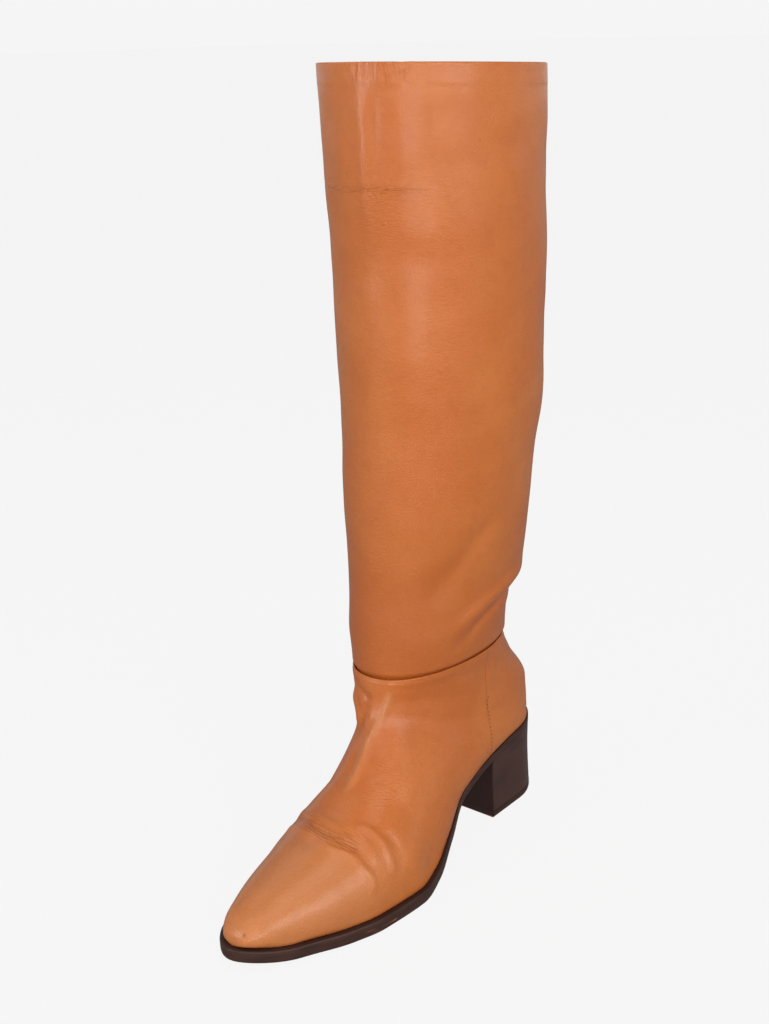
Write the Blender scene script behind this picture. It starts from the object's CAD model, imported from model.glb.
"""A knee-high pull-on leather boot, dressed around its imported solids.

Blender works in metres. The boot's own sizes are written in millimetres in the boot's own
axes: y runs from 0 at the heel's back towards minus at the toe, x towards the inner side of
the foot, z up from the floor.
"""

import logging
import math
from collections.abc import Callable, Sequence
from dataclasses import dataclass, field
from enum import Enum
from typing import Any

import bpy
import numpy as np
from mathutils import Matrix, Vector


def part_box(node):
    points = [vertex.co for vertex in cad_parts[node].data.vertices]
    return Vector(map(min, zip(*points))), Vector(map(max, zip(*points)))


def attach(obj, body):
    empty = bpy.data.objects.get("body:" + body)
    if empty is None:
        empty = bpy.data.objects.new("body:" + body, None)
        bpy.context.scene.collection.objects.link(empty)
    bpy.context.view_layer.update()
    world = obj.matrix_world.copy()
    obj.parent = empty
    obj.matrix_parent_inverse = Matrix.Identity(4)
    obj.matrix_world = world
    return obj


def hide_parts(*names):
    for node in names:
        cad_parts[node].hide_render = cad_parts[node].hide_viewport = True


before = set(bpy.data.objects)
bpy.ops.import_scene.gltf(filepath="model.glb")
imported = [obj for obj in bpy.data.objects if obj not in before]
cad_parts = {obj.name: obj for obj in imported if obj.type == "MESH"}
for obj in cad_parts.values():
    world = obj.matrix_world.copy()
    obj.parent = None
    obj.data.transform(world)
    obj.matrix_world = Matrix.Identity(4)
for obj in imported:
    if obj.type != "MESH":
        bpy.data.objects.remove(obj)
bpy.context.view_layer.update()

LOG = logging.getLogger("boot")
MM = 0.001
FAR = 99.0
TINY = 1e-6
WELD_DECIMALS = 3

Array = np.ndarray
Point = tuple[float, float, float]
Pair = tuple[float, float]
Span = tuple[float, float, float, float]
Colour = tuple[float, float, float, float]


def linear(red: int, green: int, blue: int) -> Colour:
    """A display colour as the shaders' linear colour.

    Args:
        red: Red from 0 to 255.
        green: Green from 0 to 255.
        blue: Blue from 0 to 255.

    Returns:
        The colour with full alpha.
    """

    def channel(value: int) -> float:
        """One channel without the display curve."""
        share = value / 255
        return share / 12.92 if share <= 0.04045 else ((share + 0.055) / 1.055) ** 2.4

    return (channel(red), channel(green), channel(blue), 1.0)


def ease(value: Array | float, low: float, high: float) -> Array:
    """A smooth step that is 0 at low and 1 at high.

    Args:
        value: Where to read the step.
        low: Where it starts.
        high: Where it ends. It may lie below low.

    Returns:
        The step's height at each value.
    """
    share = np.clip((np.asarray(value, float) - low) / (high - low), 0, 1)
    return share * share * (3 - 2 * share)


def window(value: Array, start: float, full: float, fade: float, end: float) -> Array:
    """A soft band: 0 outside start and end, 1 between full and fade.

    Args:
        value: Where to read the band.
        start: Where it begins to rise.
        full: Where it reaches 1.
        fade: Where it begins to fall.
        end: Where it is 0 again.

    Returns:
        The band's height at each value.
    """
    return ease(value, start, full) * ease(value, end, fade)


def bell(away: Array | float, width: float) -> Array:
    """A round hump that is 1 at its middle.

    Args:
        away: Distance from its middle.
        width: Where it has fallen to a third.

    Returns:
        The hump's height at each distance.
    """
    return np.exp(-((away / width) ** 2))


# ---- The boot's form ----


class SmoothCurve:
    """A curve through points that never overshoots them."""

    def __init__(self, at: Sequence[float], value: Sequence[float]) -> None:
        """Sorts the points and works out a slope for each.

        Args:
            at: Places along the curve.
            value: The curve's value at each place.
        """
        order = np.argsort(at)
        self.at = np.asarray(at, float)[order]
        self.value = np.asarray(value, float)[order]
        rises = np.diff(self.value) / np.diff(self.at)
        slopes = np.zeros_like(self.value)
        slopes[0], slopes[-1] = rises[0], rises[-1]
        before, after = rises[:-1], rises[1:]
        same = before * after > 0
        total = np.where(same, before + after, 1)
        slopes[1:-1] = np.where(same, 2 * before * after / total, 0)
        self.slopes = slopes

    def __call__(self, where: Array | float) -> Array:
        """Reads the curve.

        Args:
            where: Places along it.

        Returns:
            The curve's value at each place.
        """
        where = np.asarray(where, float)
        i = np.clip(np.searchsorted(self.at, where, side="left") - 1, 0, len(self.at) - 2)
        span = self.at[i + 1] - self.at[i]
        t = (where - self.at[i]) / span
        keep = (1 + 2 * t) * (1 - t) ** 2
        bend = span * t * (1 - t) * ((1 - t) * self.slopes[i] - t * self.slopes[i + 1])
        return keep * self.value[i] + (1 - keep) * self.value[i + 1] + bend


class Table:
    """A short table whose columns are read as smooth curves."""

    def __init__(self, columns: str, *rows: Sequence[float]) -> None:
        """Makes a curve of each column after the first.

        Args:
            columns: The columns' names; the first is the place along the curves.
            rows: One row of numbers for each place.
        """
        names = columns.split()
        numbers = np.array(rows, float)
        self.curves = {
            name: SmoothCurve(numbers[:, 0], numbers[:, i]) for i, name in enumerate(names) if i
        }

    def __getattr__(self, name: str) -> SmoothCurve:
        """The curve of one column.

        Args:
            name: The column's name.

        Returns:
            Its curve.
        """
        try:
            return self.__dict__["curves"][name]
        except KeyError as error:
            raise AttributeError(name) from error


SOLE = Table(
    "y centre half under thick ledge",
    (0, 0, 27.8, 50.5, 5, 0.8),
    (-30, 0, 28.6, 46.6, 5.2, 0.8),
    (-62, 0, 28.6, 40, 5.6, 0.8),
    (-92, 0, 29.5, 29.5, 6.4, 1),
    (-120, 2.3, 36.4, 14.5, 7.2, 1.8),
    (-145, 4.8, 42.8, 3.5, 8, 3),
    (-165, 5.9, 45.6, 0, 8.5, 3.5),
    (-198, 5.6, 43.3, 0, 8.6, 3.8),
    (-220, 5.6, 37.6, 0.7, 8.4, 3.9),
    (-246, 4.5, 28.4, 2.8, 8.1, 4),
    (-263, 3.2, 23.2, 4.6, 7.9, 4),
    (-280, 1.8, 17.6, 6.8, 7.8, 4),
)

FORM = Table(
    "row rim ridge_y ridge_z ridge_x half widest",
    (0, 0, -276, 14.9, 1.8, 0, 0.4),
    (1, 0.065, -275.3, 20, 2, 8, 0.3),
    (2, 0.13, -268.5, 28, 2.8, 15.5, 0.25),
    (3, 0.2, -254, 35.3, 4.2, 22.6, 0.22),
    (4, 0.3, -224, 45.3, 6.8, 33.5, 0.2),
    (5, 0.4, -192, 55.5, 7.6, 40.3, 0.22),
    (6, 0.5, -168, 68.5, 6.2, 39, 0.25),
    (7, 0.6, -156, 81.5, 3.6, 35.4, 0.28),
    (8, 0.7, -150.5, 91, 0.6, 32.8, 0.31),
    (9, 0.8, -148, 97.5, -2, 31.6, 0.35),
    (10, 0.9, -146.5, 102, -3.8, 31.4, 0.4),
    (11, 1, -145.5, 105.8, -4.8, 31.6, 0.44),
    (12, 1, -144.5, 110.5, -5.3, 31.4, 0.46),
    (13, 1, -143.8, 115.8, -5.3, 32, 0.47),
    (14, 1, -143, 122.5, -5.2, 35, 0.48),
    (15, 1, -142.5, 143, -5, 39.5, 0.48),
    (16, 1, -141, 173.5, -4, 44, 0.48),
    (17, 1, -141, 202, -3, 47.5, 0.49),
    (18, 1, -140.5, 242, -2, 51, 0.5),
    (19, 1, -140, 292, -1, 54.5, 0.5),
    (20, 1, -141, 352, -0.5, 57, 0.5),
    (21, 1, -144, 412, 0, 58, 0.5),
    (22, 1, -146, 462.5, 0, 58.5, 0.5),
    (23, 1, -146, 473, 0, 58.5, 0.5),
)

BACK_SEAM = Table(
    "row rise y x",
    (11, 0, -0.8, 0),
    (12, 23, -0.4, -1.2),
    (13, 49, -17, -3),
    (14, 66, -24.3, -4),
    (15, 88, -25.5, -4.4),
    (16, 118, -9, -4),
    (17, 148, -8, -3),
    (18, 186, -7.5, -2),
    (19, 236, -2.5, -1),
    (20, 296, -2.5, -0.5),
    (21, 356, -6, 0),
    (22, 401.2, -6.5, 0),
    (23, 411.7, -6.5, 0),
)

ROUNDNESS = Table(
    "row front back",
    (0, 2.2, 2.3),
    (4, 2.1, 2.3),
    (7, 2.1, 2.3),
    (9, 2.2, 2.4),
    (11, 2.3, 2.55),
    (12, 2.3, 2.5),
    (13, 2.3, 2.4),
    (15, 2.1, 2.2),
    (17, 2, 2.1),
    (23, 2, 2.1),
)


@dataclass(frozen=True)
class BootForm:
    """The outer form of the boot, from the sole's edge to the collar."""

    sole_length: float = 280.0
    toe_round: float = 28.0
    heel_round: float = 32.0
    heel_squareness: float = 2.15
    gap: float = 0.3
    rim_step: float = 0.004
    heel_row: float = 11.0
    seam_row: float = 14.0
    hem_row: float = 22.0
    collar_row: float = 23.0

    def half_width(self, y: Array) -> Array:
        """Half width of the outsole, with its round toe and heel.

        Args:
            y: Places along the foot.

        Returns:
            The half width at each place.
        """
        from_toe = np.clip((y + self.sole_length) / self.toe_round, 0, 1)
        from_heel = np.clip(-y / self.heel_round, 0, 1)
        power = self.heel_squareness
        toe = np.sqrt(np.clip(1 - (1 - from_toe) ** 2, 0, 1))
        heel = np.clip(1 - (1 - from_heel) ** power, 0, 1) ** (1 / power)
        return SOLE.half(y) * toe * heel

    def rim_y(self, rim: Array) -> Array:
        """Place along the foot of rim, 0 at the toe tip and 1 at the heel's back."""
        return -self.sole_length * (1 + np.cos(np.pi * rim)) / 2

    def rim_at(self, y: float) -> float:
        """Rim of a place along the foot."""
        return math.acos(max(-1.0, min(1.0, -2 * y / self.sole_length - 1))) / math.pi

    def edge(self, rim: Array, side: Array, inset: Array | float) -> Array:
        """Points of the sole's edge, moved in across it.

        Args:
            rim: Places along the edge.
            side: 1 on the inner side and -1 on the outer side.
            inset: How far each point is moved in.

        Returns:
            The points' x and y, in the last axis.
        """

        def at(place: Array) -> Array:
            """The edge without its inset."""
            y = self.rim_y(place)
            return np.stack([SOLE.centre(y) + side * self.half_width(y), y], -1)

        along = at(np.minimum(rim + self.rim_step, 1)) - at(np.maximum(rim - self.rim_step, 0))
        ends = (rim <= 0) | (rim >= 1)
        along[..., 0] = np.where(ends, side * np.where(rim <= 0, 1.0, -1.0), along[..., 0])
        along[..., 1] = np.where(ends, 0, along[..., 1])
        across = np.stack([-along[..., 1], along[..., 0]], -1)
        across /= np.linalg.norm(across, axis=-1, keepdims=True)
        return at(rim) + across * (side * inset)[..., None]

    def sole_top(self, y: Array) -> Array:
        """Height of the outsole's top face."""
        return SOLE.under(y) + SOLE.thick(y)

    def rest(self, row: Array, side: Array, inset: Array | float = 0.0) -> Array:
        """Where the wall of a row stands on the sole.

        Args:
            row: Places in the form's table.
            side: 1 on the inner side and -1 on the outer side.
            inset: How far in from the upper's outer face.

        Returns:
            The points.
        """
        rim = np.where(row <= self.heel_row, FORM.rim(np.minimum(row, self.heel_row)), 1.0)
        flat = self.edge(rim, side, SOLE.ledge(self.rim_y(rim)) + inset)
        return np.concatenate([flat, (self.sole_top(flat[..., 1]) + self.gap)[..., None]], -1)

    def point(self, row: Array, side: Array, climb: Array) -> Array:
        """Points of the outer form.

        Args:
            row: Places in the form's table.
            side: 1 on the inner side and -1 on the outer side.
            climb: 0 at a section's base, 1 where it is widest and 2 at its ridge.

        Returns:
            The points.
        """
        base = self.rest(row, side)
        across = self.rest(row, -side)
        base_half = np.abs(base[..., 0] - across[..., 0]) / 2
        leg = np.maximum(row, self.heel_row)
        seam = np.stack(
            [BACK_SEAM.x(leg), BACK_SEAM.y(leg), base[..., 2] + BACK_SEAM.rise(leg)], -1
        )
        middle = base.copy()
        middle[..., 0] = (base[..., 0] + across[..., 0]) / 2
        start = np.where((row <= self.heel_row)[..., None], middle, seam)
        ridge = np.stack([FORM.ridge_x(row), FORM.ridge_y(row), FORM.ridge_z(row)], -1)
        half = np.maximum(np.maximum(base_half, FORM.half(row)), TINY)
        widest = FORM.widest(row)
        low, high = ROUNDNESS.back(row), ROUNDNESS.front(row)

        first = np.arcsin(np.clip(base_half / half, 0, 1) ** (low / 2))
        angle = first + (np.pi / 2 - first) * np.clip(climb, 0, 1)
        whole = np.cos(first) ** (2 / low)
        low_width = half * np.clip(np.sin(angle), 0, 1) ** (2 / low)
        reached = np.clip(np.cos(angle), 0, 1) ** (2 / low) / np.maximum(whole, TINY)
        low_share = widest * np.where(whole > TINY, 1 - reached, np.clip(climb, 0, 1))

        angle = np.clip(climb - 1, 0, 1) * np.pi / 2
        high_width = half * np.clip(np.cos(angle), 0, 1) ** (2 / high)
        high_share = widest + (1 - widest) * np.sin(angle) ** (2 / high)

        share = np.where(climb <= 1, low_share, high_share)[..., None]
        width = np.where(climb <= 1, low_width, high_width)
        points = start + (ridge - start) * share
        points[..., 0] += side * width
        return points


BOOT = BootForm()


def boot_origin() -> Vector:
    """Where the heel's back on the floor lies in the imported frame, in metres."""
    low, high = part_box("heel_block")
    return Vector(((low.x + high.x) / 2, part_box("outsole")[1].y, 0.0))


ORIGIN = boot_origin()


# ---- Creases, folds and dents ----

# The width below which a fold marks the leather's colour, how many widths away it has died out,
# and how many points are enough to find where it lies.
SHARP_FOLD = 3.3
FOLD_REACH = 3.0
ROUGH_STEPS = 12


@dataclass(frozen=True)
class Fold:
    """A soft ridge or trough along a path over the leather.

    Attributes:
        path: A few points that the fold runs through.
        height: How far it stands out; negative for a trough.
        width: Half width of its soft profile.
        fade: Share of its length over which each end dies away.
    """

    path: tuple[Point, ...]
    height: float
    width: float
    fade: float = 0.3

    def line(self, steps: int = 40) -> Array:
        """A smooth run of points through the path.

        Args:
            steps: How many points it has.

        Returns:
            The points in order.
        """
        knots = np.array(self.path, float)
        padded = np.vstack([2 * knots[0] - knots[1], knots, 2 * knots[-1] - knots[-2]])
        where = np.linspace(0, len(knots) - 1, steps)
        i = np.minimum(where.astype(int), len(knots) - 2)
        t = (where - i)[:, None]
        a, b, c, d = (padded[i + k] for k in range(4))
        return 0.5 * (
            2 * b + (c - a) * t + (2 * a - 5 * b + 4 * c - d) * t**2 + (3 * b - a - 3 * c + d) * t**3
        )

    def nearest(self, points: Array, normals: Array) -> tuple[Array, Array, Array]:
        """Where each point lies beside the fold's line.

        Args:
            points: The leather's points.
            normals: The direction out of the leather at each.

        Returns:
            Distance from the line, the same distance with a sign for its side, and the share
            of the line's length passed.
        """
        line = self.line()
        best = np.full(len(points), np.inf)
        along = np.zeros(len(points))
        sign = np.zeros(len(points))
        for k in range(len(line) - 1):
            step = line[k + 1] - line[k]
            t = np.clip((points - line[k]) @ step / (step @ step), 0, 1)
            away = points - (line[k] + t[:, None] * step)
            distance = np.linalg.norm(away, axis=1)
            closer = distance < best
            best = np.where(closer, distance, best)
            along = np.where(closer, (k + t) / (len(line) - 1), along)
            side = np.einsum("ij,ij->i", np.cross(step, normals), away)
            sign = np.where(closer, side / np.linalg.norm(step), sign)
        return best, sign, along

    def push(self, points: Array, normals: Array) -> Array:
        """How far this fold moves each point out.

        Args:
            points: The leather's points.
            normals: The direction out of the leather at each.

        Returns:
            The distance outwards for each point.
        """
        line = self.line(ROUGH_STEPS)
        reach = FOLD_REACH * self.width
        near = np.all((points > line.min(0) - reach) & (points < line.max(0) + reach), axis=-1)
        moved = np.zeros(len(points))
        if near.any():
            away, _, along = self.nearest(points[near], normals[near])
            ends = window(along, 0, self.fade, 1 - self.fade, 1)
            moved[near] = self.height * bell(away, self.width) * ends
        return moved

    @property
    def sharp(self) -> bool:
        """Whether the fold is narrow enough to mark the leather's colour."""
        return self.width < SHARP_FOLD


@dataclass(frozen=True)
class Waviness:
    """The slight unevenness of real leather, as a sum of seeded waves."""

    length: float
    height: float
    seed: int
    waves: int = 14

    def push(self, points: Array, normals: Array) -> Array:
        """How far the waves move each point out.

        Args:
            points: The leather's points.
            normals: Unused direction at each point, as in Fold.push.

        Returns:
            The distance outwards for each point.
        """
        del normals
        random = np.random.default_rng(self.seed)
        total = np.zeros(len(points))
        for _ in range(self.waves):
            heading = random.normal(size=3)
            heading /= np.linalg.norm(heading)
            length = self.length * random.uniform(0.7, 1.5)
            total += np.sin(points @ heading * 2 * np.pi / length + random.uniform(0, 2 * np.pi))
        return self.height * total / math.sqrt(self.waves)


# ---- Meshes ----


class Mesher:
    """Gathers grids of points in the boot's millimetres into one Blender mesh."""

    def __init__(self, name: str) -> None:
        """Starts an empty piece of that name."""
        self.name = name
        self.points: list[Array] = []
        self.faces: list[Array] = []
        self.fields: dict[str, list[Array]] = {}
        self.count = 0

    def grid(self, rings: Array, closed: bool = False, flip: bool = False, **fields: Array) -> None:
        """Adds a strip of quads between rings of points.

        Args:
            rings: Points as rings by columns by 3.
            closed: Whether each ring closes on itself.
            flip: Whether the faces look the other way.
            fields: Named numbers for each point, kept on the mesh for the shaders.
        """
        rows, columns = rings.shape[:2]
        index = self.count + np.arange(rows * columns).reshape(rows, columns)
        if closed:
            index = np.concatenate([index, index[:, :1]], axis=1)
        quads = np.stack([index[:-1, :-1], index[:-1, 1:], index[1:, 1:], index[1:, :-1]], -1)
        quads = quads.reshape(-1, 4)
        self.faces.append(quads[:, ::-1] if flip else quads)
        self.points.append(rings.reshape(-1, 3))
        for name, values in fields.items():
            before = self.fields.setdefault(name, [np.zeros(self.count)])
            before.append(np.broadcast_to(values, (rows, columns)).reshape(-1))
        self.count += rows * columns
        for name in self.fields.keys() - fields.keys():
            self.fields[name].append(np.zeros(rows * columns))

    def build(self, finish: bpy.types.Material, slot: str, *nodes: str) -> bpy.types.Object:
        """Makes the object, merges points that coincide and puts it on the boot.

        Args:
            finish: The piece's material.
            slot: The material slot that the record names for it.
            nodes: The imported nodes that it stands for.

        Returns:
            The finished object.
        """
        points = np.concatenate(self.points)
        faces = np.concatenate(self.faces)
        places = np.round(points, WELD_DECIMALS)
        _, keep, merged = np.unique(places, axis=0, return_index=True, return_inverse=True)
        faces = merged.reshape(-1)[faces]
        corners = [tuple(dict.fromkeys(face)) for face in faces.tolist()]
        mesh = bpy.data.meshes.new(self.name)
        placed = points[keep] * MM + np.array(ORIGIN)
        mesh.from_pydata(placed.tolist(), [], [face for face in corners if len(face) > 2])
        for name, values in self.fields.items():
            layer = mesh.attributes.new(name, "FLOAT", "POINT")
            layer.data.foreach_set("value", np.concatenate(values)[keep].astype(np.float32))
        mesh.validate()
        mesh.materials.append(finish)
        mesh.shade_smooth()
        piece = bpy.data.objects.new(self.name, mesh)
        bpy.context.scene.collection.objects.link(piece)
        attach(piece, "root")
        if nodes:
            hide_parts(*nodes)
        LOG.info("%s: %d points, %d faces", self.name, len(keep), len(mesh.polygons))
        return piece


def outward(rings: Array) -> Array:
    """Direction out of a grid of points at each point.

    Args:
        rings: Points as rings by columns by 3.

    Returns:
        Unit directions of the same shape.
    """
    along = np.gradient(rings, axis=0)
    across = np.gradient(rings, axis=1)
    normal = np.cross(across, along)
    length = np.linalg.norm(normal, axis=-1, keepdims=True)
    good = length[..., 0] > TINY
    unit = normal / np.maximum(length, TINY)
    for row in range(1, len(rings)):
        unit[row] = np.where(good[row][:, None], unit[row], unit[row - 1])
    return unit


# ---- Shaders ----


class Value:
    """A number in a shader, on which arithmetic adds nodes."""

    def __init__(self, recipe: "Recipe", socket: bpy.types.NodeSocket) -> None:
        """Wraps a socket of that recipe's node tree."""
        self.recipe = recipe
        self.socket = socket

    def _math(self, operation: str, *values: "Value | float") -> "Value":
        """One Math node on the given values."""
        inputs = dict(enumerate(values))
        return self.recipe.value("ShaderNodeMath", {"operation": operation}, inputs)

    def __add__(self, other: "Value | float") -> "Value":
        """Sum."""
        return self._math("ADD", self, other)

    __radd__ = __add__

    def __mul__(self, other: "Value | float") -> "Value":
        """Product."""
        return self._math("MULTIPLY", self, other)

    __rmul__ = __mul__

    def __sub__(self, other: "Value | float") -> "Value":
        """Difference."""
        return self._math("SUBTRACT", self, other)

    def __rsub__(self, other: "Value | float") -> "Value":
        """Difference from a number."""
        return self._math("SUBTRACT", other, self)

    def __abs__(self) -> "Value":
        """Size without its sign."""
        return self._math("ABSOLUTE", self)

    def ease(self, low: float, high: float) -> "Value":
        """A smooth step that is 0 at low and 1 at high.

        Args:
            low: Where it starts.
            high: Where it ends. It may lie below low.

        Returns:
            The step's height.
        """
        start, end, bottom, top = (low, high, 0.0, 1.0) if low < high else (high, low, 1.0, 0.0)
        return self.recipe.value(
            "ShaderNodeMapRange",
            {"interpolation_type": "SMOOTHSTEP"},
            {0: self, 1: start, 2: end, 3: bottom, 4: top},
        )


class Recipe:
    """The node tree of one finish, around one Principled shader."""

    def __init__(self, name: str, world: bpy.types.World | None = None) -> None:
        """Starts a material of that name, or the nodes of a world.

        Args:
            name: The material's name.
            world: A world to work on instead.
        """
        self.material = world or bpy.data.materials.new(name)
        self.material.use_nodes = True
        self.tree = self.material.node_tree
        self.shader = self.tree.nodes["Background" if world else "Principled BSDF"]
        self.fields: dict[str, Value] = {}

    def node(
        self, kind: str, settings: dict[str, Any] | None = None, inputs: dict[Any, Any] | None = None
    ) -> bpy.types.Node:
        """Adds any node.

        Args:
            kind: The node's type.
            settings: Its settings, set before its sockets.
            inputs: Values or links for its sockets, by name or number.

        Returns:
            The new node.
        """
        made = self.tree.nodes.new(kind)
        for name, setting in (settings or {}).items():
            setattr(made, name, setting)
        for name, given in (inputs or {}).items():
            self.feed(made.inputs[name], given)
        return made

    def feed(self, socket: bpy.types.NodeSocket, given: Any) -> None:
        """Links a value or socket to a socket, or sets a plain number or colour on it.

        Args:
            socket: The socket that is fed.
            given: What it is fed with.
        """
        if isinstance(given, Value):
            given = given.socket
        if isinstance(given, bpy.types.NodeSocket):
            self.tree.links.new(given, socket)
        else:
            socket.default_value = given

    def value(
        self, kind: str, settings: dict[str, Any] | None = None, inputs: dict[Any, Any] | None = None
    ) -> Value:
        """Adds a node and wraps its first output."""
        return Value(self, self.node(kind, settings, inputs).outputs[0])

    def field(self, name: str) -> Value:
        """Numbers kept on the mesh under that name, read by one node however often they are used."""
        if name not in self.fields:
            node = self.node("ShaderNodeAttribute", {"attribute_name": name})
            self.fields[name] = Value(self, node.outputs["Fac"])
        return self.fields[name]

    def place(self, stretch: Point = (1.0, 1.0, 1.0)) -> bpy.types.NodeSocket:
        """The surface point in the boot's frame, in metres, stretched along each axis."""
        spot = self.node("ShaderNodeTexCoord").outputs["Object"]
        if stretch == (1.0, 1.0, 1.0):
            return spot
        scaled = self.node("ShaderNodeVectorMath", {"operation": "MULTIPLY"}, {0: spot, 1: stretch})
        return scaled.outputs[0]

    def noise(self, size: float, detail: float = 2.0, stretch: Point = (1.0, 1.0, 1.0)) -> Value:
        """Soft noise.

        Args:
            size: Size of its largest features, in millimetres.
            detail: How many finer layers it has.
            stretch: Scale of the point along each axis.

        Returns:
            Noise around 0.5.
        """
        inputs = {"Vector": self.place(stretch), "Scale": 1 / (size * MM), "Detail": detail}
        return self.value("ShaderNodeTexNoise", None, inputs)

    def cells(self, size: float, stretch: Point = (1.0, 1.0, 1.0)) -> Value:
        """Distance to the edges of cells, in millimetres of cell size.

        Args:
            size: Size of a cell, in millimetres.
            stretch: Scale of the point along each axis.

        Returns:
            0 on an edge and more inside a cell.
        """
        settings = {"feature": "DISTANCE_TO_EDGE"}
        inputs = {"Vector": self.place(stretch), "Scale": 1 / (size * MM)}
        return self.value("ShaderNodeTexVoronoi", settings, inputs)

    def blend(self, share: Value | float, first: Any, second: Any) -> bpy.types.NodeSocket:
        """A colour between two colours.

        Args:
            share: How much of the second.
            first: Colour or socket.
            second: Colour or socket.

        Returns:
            The mixed colour's socket.
        """
        settings = {"data_type": "RGBA", "clamp_factor": True}
        made = self.node("ShaderNodeMix", settings, {0: share, 6: first, 7: second})
        return made.outputs[2]

    def bump(
        self, height: Value, millimetres: float, under: bpy.types.NodeSocket | None = None
    ) -> bpy.types.NodeSocket:
        """A Bump node.

        Args:
            height: Height from 0 to 1.
            millimetres: Real height of 1.
            under: The normal of the bump below, if there is one.

        Returns:
            The normal's socket.
        """
        inputs = {"Height": height, "Distance": millimetres * MM, "Strength": 1.0}
        if under is not None:
            inputs["Normal"] = under
        return self.node("ShaderNodeBump", None, inputs).outputs["Normal"]

    def finish(self, varying: dict[str, Any], uniform: dict[str, Any]) -> bpy.types.Material:
        """Feeds the shader and hands over the material.

        Args:
            varying: Shader inputs that change over the surface.
            uniform: Shader inputs that are the same all over.

        Returns:
            The material.
        """
        for name, given in {**varying, **uniform}.items():
            self.feed(self.shader.inputs[name], given)
        return self.material


# ---- Finishes ----


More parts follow.
